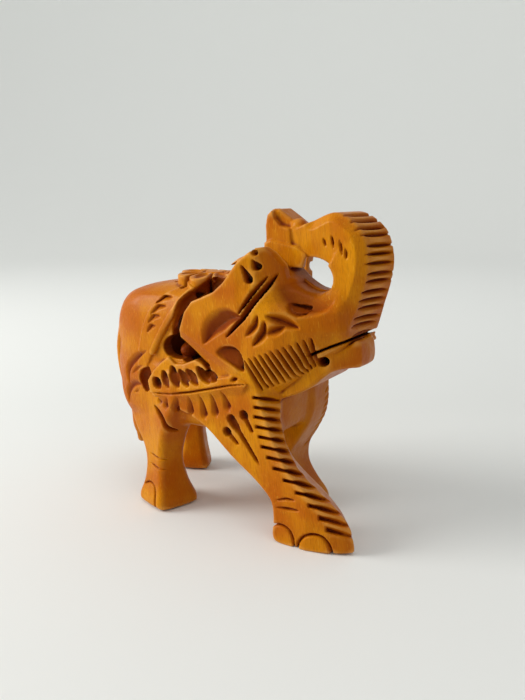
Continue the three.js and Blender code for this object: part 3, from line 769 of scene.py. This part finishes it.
def carve_trunk(block):
    """A ladder of lens-shaped ribs up the front of the trunk, and a row of nicks beside its curl."""
    length = np.hypot(*np.diff(TRUNK_BACK, axis=0).T).sum()

    def ribs(x, y, z):
        total = np.zeros((x.size, y.size, z.size), np.float32)
        for j, v in enumerate(y):
            behind, along, _ = along_path(TRUNK_BACK, x - TRUNK_SWAY * v, z)
            place = along * length
            for i in range(RIBS):
                centre = RIB_FIRST + RIB_SPACING * i + RIB_WANDER * math.sin(i * 2.4) - RIB_TILT * v
                taper = max(1 - ((v + RIB_SHIFT * math.sin(i * 1.7)) / RIB_END) ** 2, 0) ** 0.5
                half = RIB_HALF_WIDTH * taper
                cut = RIB_DEPTH * np.clip(half - np.abs(place - centre), 0, 1) / RIB_HALF_WIDTH
                total[:, j] = np.maximum(total[:, j], cut)
            total[:, j] *= behind < RIB_REACH
        return total
    block.inset((24, -6, 45), (39, 6, 75), ribs)
    nicks = [
        Stroke([(24.6, 68.4), (25.3, 66.4)], 0.9, 0.7), Stroke([(26.6, 69.2), (27.3, 66.3)], 0.9, 0.8),
        Stroke([(28.7, 68.2), (29.5, 64.9)], 0.9, 0.8), Stroke([(30.2, 66.6), (30.5, 64)], 0.9, 0.8)]
    engrave(block, "side", nicks, (-20, -2), mirror=True)


def leaf_cuts():
    """A midrib with a row of hollows above it and a row of chips below it."""
    hollows = [
        [(-15.9, 34), (-13.2, 31.7)], [(-13.3, 36.1), (-10.6, 32.2)], [(-10.8, 37.6), (-7.8, 32.6)],
        [(-8.4, 37), (-4.9, 33.3)], [(-6.3, 37.3), (-2, 34.1)], [(-3.2, 38.3), (1.2, 35)],
        [(-0.6, 37.4), (3.2, 35.9)]]
    chips = [
        [(-14.4, 28.2), (-14.6, 29.6)], [(-11.8, 27.6), (-11.5, 29.9)], [(-9, 27.4), (-8.4, 30.5)],
        [(-4.8, 27.2), (-5.1, 31.1)], [(-0.8, 27.2), (-2, 31.9)], [(2.4, 28.2), (1.2, 32.9)],
        [(5.8, 30.2), (4.2, 33.8)]]
    cuts = [Stroke(points, 2.5, 2.0, "lens", "round", right=1.25) for points in hollows]
    cuts += [Stroke(points, 2.4, 1.2, "thorn", right=0.9) for points in chips]
    cuts.append(Stroke(LEAF_MIDRIB, 0.8, 1.2, "slit"))
    cuts.append(Stroke([(7, 36.5), (8.8, 37.3)], 1.4, 1.2))
    return cuts


def flank_cuts():
    """Leaf cuts down the saddle cloth, lobes on the border of the rump and a pit under the cloth."""
    cuts = [Stroke(points, 1.5, 1.1, right=0.9) for points in (
        [(-17.2, 51.4), (-14.8, 53.2), (-12, 53.4)], [(-18.2, 48.8), (-16, 51), (-13.3, 51.2)],
        [(-18.8, 46.6), (-17.2, 48.6), (-14.8, 48.8)], [(-19, 44.4), (-17.8, 46.2), (-16, 46.2)])]
    cuts += [Stroke(points, 2.4, 1.3, right=0.6, curved=True) for points in (
        [(-26.4, 29.6), (-26.2, 33.8), (-23.4, 36.8), (-18.8, 40)],
        [(-27, 24.8), (-26.6, 28), (-24, 30.4), (-21, 30.8)])]
    cuts += [
        Stroke([(-18.6, 35.8), (-20, 32.8), (-19.8, 29.2)], 4.6, 3.6, "lens", "round"),
        Stroke([(-25, 33), (-22.6, 35), (-20.4, 36)], 1.2, 0.8),
        Stroke([(-24.4, 28.2), (-22.4, 29.4)], 1.0, 0.7),
        Stroke([(-27.6, 26), (-30.6, 30), (-31.6, 34)], 1.8, 0.7),
        Stroke([(-17.2, 26.6), (-13.6, 23.6), (-11.6, 20)], 2.0, 1.5, right=0.7),
        Stroke([(-4.2, 55.3), (-1.6, 55.8)], 2.6, 2.0, "even", "steep")]
    return cuts


def carve_saddle(block):
    """The cuts between the petals, a hollow down each petal and a ring round the middle."""
    def spoke(radius, turn):
        return (SADDLE_CENTRE[0] + radius * math.cos(turn),
                SADDLE_CENTRE[1] + radius * math.sin(turn) / SADDLE_NARROWER)
    cuts = []
    for i in range(PETALS):
        between, middle = 2 * math.pi * (i + 0.5) / PETALS, 2 * math.pi * i / PETALS
        cuts.append(Stroke([spoke(SADDLE_RADIUS, between), spoke(2.6, between)], 1.8, 2.2, "thorn"))
        cuts.append(Stroke([spoke(3.6, middle), spoke(8.6, middle)], 2.8, 0.9, "lens", "round"))
    ring = [spoke(2.8, 2 * math.pi * i / 24) for i in range(25)]
    cuts.append(Stroke(ring, 1.0, 1.0, "even"))
    engrave(block, "plan", cuts, (50, 64))


NOTCHES = 13
NOTCH_TOP = 33.6
NOTCH_SPACING = 2.2
NOTCH_FALL = 1.4
NOTCH_STEEPER = 0.16
FAINT_NOTCHES = 9
FAINT_SPACING = 1.9


def carve_legs(block):
    """Pins, rings and nails on the near legs, and a ladder of notches down the front of each foreleg."""
    pins = [
        Stroke([(14.2, 17.6), (10.5, 22.4), (7, 26.6), (6.5, 27.3)], 2.3, 1.6, "pin", "round"),
        Stroke([(8.6, 21.4), (5.3, 24.1)], 2.2, 1.6, "pin", "round"),
        Stroke([(12.4, 24.9), (9.9, 28.9)], 2.2, 1.6, "pin", "round")]
    rings = [
        Stroke([(18.3, 10.2), (21, 11.2), (23.9, 11.4)], 0.9, 0.8),
        Stroke([(18.4, 8.6), (24.8, 9.2)], 1.1, 0.9),
        Stroke([(-19.4, 13.6), (-13.6, 12.8)], 0.9, 0.7),
        Stroke([(-19.4, 11), (-13.8, 10.2)], 0.9, 0.7)]
    nails = [Stroke(points, width, depth, "even", curved=True) for points, width, depth in (
        ([(17.6, 4), (19.8, 4.6), (21.9, 3.9), (22.9, 2.2), (23.2, 0.2)], 0.9, 0.9),
        ([(24, 0.1), (24.4, 1.6), (25.8, 3.4), (27.8, 4.2), (30.1, 3.8), (31.4, 2.1), (31.9, 0.2)], 1.0, 1.0),
        ([(-21, 5), (-19, 6), (-17, 5.6), (-15.9, 3.6), (-15.7, 0.2)], 0.8, 0.7))]
    engrave(block, "side", pins + rings + nails, (-20, -10))
    heights, fronts = zip(*[(z, x) for x, z in FORELEG_FRONT])
    for i in range(NOTCHES):
        high = NOTCH_TOP - NOTCH_SPACING * i
        low = high - NOTCH_FALL - NOTCH_STEEPER * i
        front = np.interp((high + low) / 2, heights, fronts)
        engrave(block, "front", [Stroke([(-15, high), (-9.8, low)], 1.6, 1.4)], (front - 5, 40))
    faint = [Stroke([(13.8, 31 - FAINT_SPACING * i), (10.4, 29 - FAINT_SPACING * i)], 0.8, 0.6)
             for i in range(FAINT_NOTCHES)]
    engrave(block, "front", faint, (10, 22))


def carve_rump(block):
    """A gouge at the back of each haunch and the hairs of the tail's tuft."""
    for sign in (-1, 1):
        centre, radii = (-32.9, sign * 9.9, 40), (2.6, 2.6, 4.4)
        block.cut([c - r for c, r in zip(centre, radii)], [c + r for c, r in zip(centre, radii)],
                  ellipsoid(centre, radii), edge=0.3)
    hairs = [Stroke([(-33, 16.6), (-32.2, 12)], 0.6, 0.5), Stroke([(-31.9, 16.4), (-31.4, 12.2)], 0.6, 0.5)]
    engrave(block, "side", hairs, (-6, -3))


def carve(block):
    """All the knife work, the wide cuts first."""
    carve_face(block)
    engrave(block, "side", face_cuts() + leaf_cuts() + flank_cuts(), NEAR, mirror=True)
    engrave_ear(block, ear_cuts() + drop_cuts(top=True), -1, (-8, -16, 34), (20, -8, 67))
    engrave_ear(block, ear_cuts() + drop_cuts(top=False), 1, (-8, 8, 34), (20, 16, 67))
    carve_trunk(block)
    carve_saddle(block)
    carve_legs(block)
    carve_rump(block)


def plane_outside(block):
    """The soles stand flat on the ground, and nothing passes the two sides of the sawn block."""
    block.field = np.maximum(block.field, -block.axes[2])
    block.field = np.maximum(block.field, (np.abs(block.axes[1]) - HALF_WIDTH)[:, None])


# ---------------------------------------------------------------- meshes

def surface_nets(block):
    """Draws the surface between wood and air, and the cuts between nodes, as quads with shared corners."""
    label = np.where(block.field < 0, block.node, 0)
    shape = np.array(label.shape)
    cells = shape - 1
    quads, owners, surface, corner_ids, corner_points, corner_kind = [], [], [], [], [], []
    for axis in range(3):
        first = [slice(None)] * 3
        second = [slice(None)] * 3
        first[axis] = slice(0, -1)
        second[axis] = slice(1, None)
        a, b = label[tuple(first)], label[tuple(second)]
        index = np.array(np.nonzero(a != b))
        la, lb = a[tuple(index)], b[tuple(index)]
        fa = block.field[tuple(first)][tuple(index)]
        fb = block.field[tuple(second)][tuple(index)]
        outer = (la == 0) | (lb == 0)
        fraction = np.where(outer, np.clip(fa / np.where(fa == fb, 1, fa - fb), 0.02, 0.98), 0.5)
        point = index.astype(float)
        point[axis] += fraction
        one, two = (axis + 1) % 3, (axis + 2) % 3
        ring = []
        for du, dv in ((-1, -1), (0, -1), (0, 0), (-1, 0)):
            cell = index.copy()
            cell[one] += du
            cell[two] += dv
            ring.append((cell[0] * cells[1] + cell[1]) * cells[2] + cell[2])
        ring = np.array(ring)
        for ids in ring:
            corner_ids.append(ids)
            corner_points.append(point)
            corner_kind.append(outer)
        for mine, other, order in ((la, lb, slice(None)), (lb, la, slice(None, None, -1))):
            keep = mine > 0
            quads.append(ring[order][:, keep])
            owners.append(mine[keep])
            surface.append(other[keep] == 0)
    quads = np.concatenate(quads, axis=1).T
    owners = np.concatenate(owners)
    surface = np.concatenate(surface)
    ids = np.concatenate(corner_ids)
    points = np.concatenate(corner_points, axis=1)
    kind = np.concatenate(corner_kind)
    unique, where = np.unique(ids, return_inverse=True)
    on_surface = np.bincount(where, weights=kind) > 0
    use = kind | ~on_surface[where]
    count = np.bincount(where[use], minlength=unique.size)
    totals = [np.bincount(where[use], weights=p[use], minlength=unique.size) for p in points]
    places = (np.array(totals) / count).T * STEP + np.array([axis[0] for axis in block.axes])
    corners = np.searchsorted(unique, quads)
    return places, corners, owners, surface


def vertex_normals(places, quads):
    """Area-weighted normals of the wood's surface, which run on smoothly from node to node."""
    diagonal_a = places[quads[:, 2]] - places[quads[:, 0]]
    diagonal_b = places[quads[:, 3]] - places[quads[:, 1]]
    face = np.cross(diagonal_a, diagonal_b)
    total = np.zeros_like(places)
    for corner in range(4):
        for k in range(3):
            total[:, k] += np.bincount(quads[:, corner], weights=face[:, k], minlength=len(places))
    return total / np.maximum(np.linalg.norm(total, axis=1, keepdims=True), 1e-9)


def sample(field, block, places):
    """Trilinear values of a grid field at the points."""
    t = (places - np.array([axis[0] for axis in block.axes])) / STEP
    base = np.clip(np.floor(t).astype(int), 0, np.array(field.shape) - 2)
    t = t - base
    value = np.zeros(len(places))
    for corner in np.ndindex(2, 2, 2):
        weight = np.prod(np.where(np.array(corner), t, 1 - t), axis=1)
        value += weight * field[tuple((base + corner).T)]
    return value


def crowding(block, radius):
    """How much of the neighbourhood of each point is wood: half on a flat face, more in a cut."""
    share = (block.field < 0).astype(np.float32)
    reach = max(int(round(radius / STEP)), 1)
    for axis in range(3):
        padding = [(0, 0)] * 3
        padding[axis] = (reach + 1, reach)
        total = np.cumsum(np.pad(share, padding), axis=axis, dtype=np.float32)
        high = [slice(None)] * 3
        low = [slice(None)] * 3
        high[axis] = slice(2 * reach + 1, None)
        low[axis] = slice(0, -(2 * reach + 1))
        share = (total[tuple(high)] - total[tuple(low)]) / (2 * reach + 1)
    return share


def build_pieces(block, before_cuts, material):
    """Makes one closed mesh for each node, with the two measures that the stain, the painted shade and shadow
    in the cuts and the painted edge highlight go by.
    """
    places, quads, owners, surface = surface_nets(block)
    normals = vertex_normals(places, quads[surface])
    depth = -sample(before_cuts, block, places)
    crowded = sample(crowding(block, 1.2), block, places)
    pieces = {}
    for number, name in enumerate(block.names, start=1):
        mine = owners == number
        if not mine.any():
            continue
        used, faces = np.unique(quads[mine], return_inverse=True)
        faces = faces.reshape(-1, 4)
        outer = surface[mine]
        mesh = bpy.data.meshes.new("carved_" + name)
        mesh.from_pydata((places[used] * MM).tolist(), [], faces.tolist())
        mesh.polygons.foreach_set("use_smooth", np.ones(len(faces), bool))
        loop_normals = np.empty((len(faces), 4, 3))
        loop_normals[:] = normals[used][faces]
        corners = places[used][faces]
        flat = np.cross(corners[:, 2] - corners[:, 0], corners[:, 3] - corners[:, 1])
        flat /= np.maximum(np.linalg.norm(flat, axis=1, keepdims=True), 1e-9)
        loop_normals[~outer] = flat[~outer][:, None, :]
        mesh.normals_split_custom_set(loop_normals.reshape(-1, 3).tolist())
        for label, values in (("cut_depth", depth), ("crowding", crowded)):
            attribute = mesh.attributes.new(label, "FLOAT", "POINT")
            attribute.data.foreach_set("value", values[used].astype(np.float32))
        piece = bpy.data.objects.new("carved_" + name, mesh)
        bpy.context.scene.collection.objects.link(piece)
        mesh.materials.append(material)
        pieces[name] = piece
    return pieces


# ---------------------------------------------------------------- materials, light and camera

class Nodes:
    """Short names for the shader nodes that the wood uses."""

    def __init__(self, material):
        self.tree = material.node_tree

    def put(self, kind, **values):
        node = self.tree.nodes.new("ShaderNode" + kind)
        for name, value in values.items():
            setattr(node, name, value)
        return node

    def link(self, source, target):
        self.tree.links.new(source, target)

    def feed(self, node, socket, value):
        if hasattr(value, "is_linked"):
            self.link(value, node.inputs[socket])
        else:
            node.inputs[socket].default_value = value

    def math(self, operation, a, b=0.0):
        node = self.put("Math", operation=operation)
        self.feed(node, 0, a)
        self.feed(node, 1, b)
        return node.outputs[0]

    def ramp(self, value, low, high, to_low=0.0, to_high=1.0):
        node = self.put("MapRange", interpolation_type="SMOOTHSTEP")
        for socket, v in enumerate((value, low, high, to_low, to_high)):
            self.feed(node, socket, v)
        return node.outputs[0]

    def blend(self, factor, a, b, mode="MIX"):
        node = self.put("Mix", data_type="RGBA", blend_type=mode)
        self.feed(node, 0, factor)
        self.feed(node, 6, a)
        self.feed(node, 7, b)
        return node.outputs[2]

    def noise(self, vector, scale, detail=3.0, roughness=0.55):
        node = self.put("TexNoise")
        self.link(vector, node.inputs["Vector"])
        node.inputs["Scale"].default_value = scale
        node.inputs["Detail"].default_value = detail
        node.inputs["Roughness"].default_value = roughness
        return node.outputs["Fac"]

    def stretched(self, vector, scale, rotation=(0, 0, 0)):
        node = self.put("Mapping")
        self.link(vector, node.inputs["Vector"])
        node.inputs["Scale"].default_value = scale
        node.inputs["Rotation"].default_value = rotation
        return node.outputs["Vector"]


def colour(red, green, blue):
    """An sRGB colour out of 255 as the linear colour that the shader takes."""
    def linear(v):
        v /= 255
        return v / 12.92 if v <= 0.04045 else ((v + 0.055) / 1.055) ** 2.4
    return (linear(red), linear(green), linear(blue), 1)


def carved_wood(name, gold, amber, deep):
    """Lacquered wood, stained and darkened with painted shade where a cut is deep or narrow, with painted
    shadow in cuts that are deep and narrow, painted shade on faces turned away from the key light and on
    faces turned downwards, and a painted highlight pale on its exposed edges.
    """
    material = bpy.data.materials.new(name)
    material.use_nodes = True
    n = Nodes(material)
    shader = material.node_tree.nodes["Principled BSDF"]
    place = n.put("TexCoord").outputs["Object"]
    millimetres = n.stretched(place, (1000, 1000, 1000), (0, 0.12, 0))
    broad = n.noise(millimetres, 0.075, 2)
    fibre = n.noise(n.stretched(millimetres, (1, 1, 0.1)), 4.6, 4, 0.62)
    fleck = n.noise(n.stretched(millimetres, (1, 1, 0.2)), 3.2, 2, 0.5)
    band = n.noise(n.stretched(millimetres, (1, 0.5, 0.06)), 0.45, 3, 0.5)
    wood = n.blend(n.ramp(broad, 0.36, 0.66), gold, amber)
    wood = n.blend(n.ramp(band, 0.4, 0.68, 0, 0.4), wood, amber)
    wood = n.blend(n.ramp(fibre, 0.46, 0.7, 0, 0.34), wood, deep)
    wood = n.blend(n.ramp(fleck, 0.6, 0.72, 0, 0.35), wood, colour(224, 164, 44))

    # Painted shade: faces turned towards +x, away from the key light, and faces turned downwards are darkened
    # towards red-brown.
    geometry = n.put("NewGeometry")
    facing = n.put("SeparateXYZ")
    n.link(geometry.outputs["Normal"], facing.inputs[0])
    away_side_shade = n.ramp(facing.outputs[0], 0.1, 0.95, 0, 0.5)
    under = n.ramp(facing.outputs[2], -0.1, -0.8, 0, 0.35)
    wood = n.blend(n.math("MAXIMUM", away_side_shade, under), wood, colour(150, 66, 6))

    cut = n.put("Attribute", attribute_name="cut_depth").outputs["Fac"]
    crowd = n.put("Attribute", attribute_name="crowding").outputs["Fac"]
    # Stain and painted shade: darker red-brown where a cut is deep (floor) and where wood crowds round a
    # narrow cut (narrow), where shade falls.
    floor = n.ramp(cut, 0.1, 1.1, 0, 0.85)
    narrow = n.ramp(crowd, 0.53, 0.7, 0, 1)
    stain_and_shade = n.math("MAXIMUM", floor, narrow)
    wood = n.blend(stain_and_shade, wood, colour(118, 36, 0))
    # Painted shadow: near black at the bottom of cuts that are both deep and narrow.
    deep_cut_shadow = n.math("MULTIPLY", n.ramp(crowd, 0.6, 0.8), n.ramp(cut, 0.4, 1.8))
    wood = n.blend(deep_cut_shadow, wood, colour(44, 10, 0))
    # Painted highlight: pale on exposed edges, where little wood lies near and the cut is shallow.
    edge_highlight = n.math("MULTIPLY", n.ramp(crowd, 0.42, 0.22), n.ramp(cut, 0.5, 0.1))
    wood = n.blend(n.math("MULTIPLY", edge_highlight, 0.55), wood, colour(224, 160, 74))
    n.link(wood, shader.inputs["Base Color"])

    wear = n.noise(millimetres, 0.5, 3)
    roughness = n.math("ADD", n.ramp(wear, 0.3, 0.7, 0.3, 0.46), n.math("MULTIPLY", stain_and_shade, 0.15))
    n.link(roughness, shader.inputs["Roughness"])
    shader.inputs["Specular IOR Level"].default_value = 0.14
    shader.inputs["Specular Tint"].default_value = colour(255, 214, 160)
    shader.inputs["Coat Weight"].default_value = 0.06
    shader.inputs["Coat Roughness"].default_value = 0.2
    bump = n.put("Bump")
    bump.inputs["Strength"].default_value = 0.35
    bump.inputs["Distance"].default_value = 0.00012
    tool = n.noise(millimetres, 0.9, 2, 0.4)
    n.link(n.math("ADD", fibre, n.math("MULTIPLY", tool, 1.6)), bump.inputs["Height"])
    n.link(bump.outputs["Normal"], shader.inputs["Normal"])
    return material


def add_camera():
    """The camera looks at the right side of the elephant from in front and a little above."""
    centre = Vector((3.5, 4.0, 39.5)) * MM
    azimuth, elevation, distance = math.radians(32), math.radians(13), 180 * MM
    back = Vector((math.sin(azimuth) * math.cos(elevation),
                   -math.cos(azimuth) * math.cos(elevation), math.sin(elevation)))
    data = bpy.data.cameras.new("camera")
    data.sensor_width = 36
    data.lens = 37.5
    camera = bpy.data.objects.new("camera", data)
    camera.location = centre + back * distance
    camera.rotation_euler = back.to_track_quat("Z", "Y").to_euler()
    data.clip_start = 0.005
    bpy.context.scene.collection.objects.link(camera)
    bpy.context.scene.camera = camera


def add_area_light(name, place, target, size, power, colour=(1, 1, 1)):
    data = bpy.data.lights.new(name, "AREA")
    data.shape = "DISK"
    data.size = size
    data.energy = power
    data.color = colour
    light = bpy.data.objects.new(name, data)
    light.location = place
    light.rotation_euler = (Vector(place) - Vector(target)).to_track_quat("Z", "Y").to_euler()
    bpy.context.scene.collection.objects.link(light)


FLOOR_RADIUS = 0.6
SWEEP_RADIUS = 0.5
WALL_TOP = 0.64
SWEEP_STEPS = 17


def add_stage():
    """A round floor that sweeps up into a pale wall, with soft lights inside it."""
    profile = [(0, 0), (FLOOR_RADIUS / 2, 0)]
    profile += [(FLOOR_RADIUS + SWEEP_RADIUS * math.sin(a), SWEEP_RADIUS * (1 - math.cos(a)))
                for a in np.linspace(0, math.pi / 2, SWEEP_STEPS)]
    profile.append((FLOOR_RADIUS + SWEEP_RADIUS, WALL_TOP))
    turns = 72
    angles = [2 * math.pi * i / turns for i in range(turns)]
    corners = [(0, 0, 0)]
    for radius, height in profile[1:]:
        corners += [(radius * math.cos(a), radius * math.sin(a), height) for a in angles]
    faces = [(0, 1 + i, 1 + (i + 1) % turns) for i in range(turns)]
    for row in range(len(profile) - 2):
        first = 1 + row * turns
        faces += [(first + i, first + turns + i, first + turns + (i + 1) % turns, first + (i + 1) % turns)
                  for i in range(turns)]
    mesh = bpy.data.meshes.new("floor")
    mesh.from_pydata(corners, [], faces)
    mesh.polygons.foreach_set("use_smooth", np.ones(len(faces), bool))
    floor = bpy.data.objects.new("floor", mesh)
    bpy.context.scene.collection.objects.link(floor)
    material = bpy.data.materials.new("floor")
    material.use_nodes = True
    shader = material.node_tree.nodes["Principled BSDF"]
    shader.inputs["Base Color"].default_value = colour(236, 238, 236)
    shader.inputs["Roughness"].default_value = 0.85
    shader.inputs["Specular IOR Level"].default_value = 0.2
    mesh.materials.append(material)
    world = bpy.data.worlds.new("studio")
    world.use_nodes = True
    world.node_tree.nodes["Background"].inputs["Color"].default_value = (1, 1, 0.98, 1)
    world.node_tree.nodes["Background"].inputs["Strength"].default_value = 0.5
    bpy.context.scene.world = world
    add_area_light("key", (-0.46, -0.3, 0.3), (0, 0, 0.04), 0.34, 2.8, (1, 0.98, 0.95))
    add_area_light("top", (0.1, -0.1, 0.6), (0, 0, 0.03), 0.4, 0.5)
    add_area_light("wall", (0, 0.1, 0.6), (-0.6, 1.05, 0.6), 0.4, 1.6)
    bpy.context.scene.view_settings.view_transform = "Standard"


# ---------------------------------------------------------------- the scene

add_camera()
add_stage()
block = Block((-40.4, -17.4, -1), (40.4, 17.4, 76))
saw_masses(block)
before_cuts = block.field.copy()
carve_hollow(block)
add_calf(block)
add_plates(block)
part_torso(block)
# The stain and painted shade in the cuts later go by how far a point lies below this surface.
before_cuts = np.minimum(before_cuts, block.field)
carve(block)
plane_outside(block)
honey_wood = carved_wood("honey_wood", colour(214, 138, 6), colour(186, 96, 2), colour(130, 54, 0))
pieces = build_pieces(block, before_cuts, honey_wood)
# Painted shade: the calf stands in the shade of the hollow, so it gets a darker copy of the same wood.
calf_wood = carved_wood("calf_wood", colour(196, 112, 10), colour(160, 74, 4), colour(110, 42, 0))
pieces["calf"].data.materials[0] = calf_wood
for name, piece in pieces.items():
    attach(piece, "root")
    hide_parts(name)
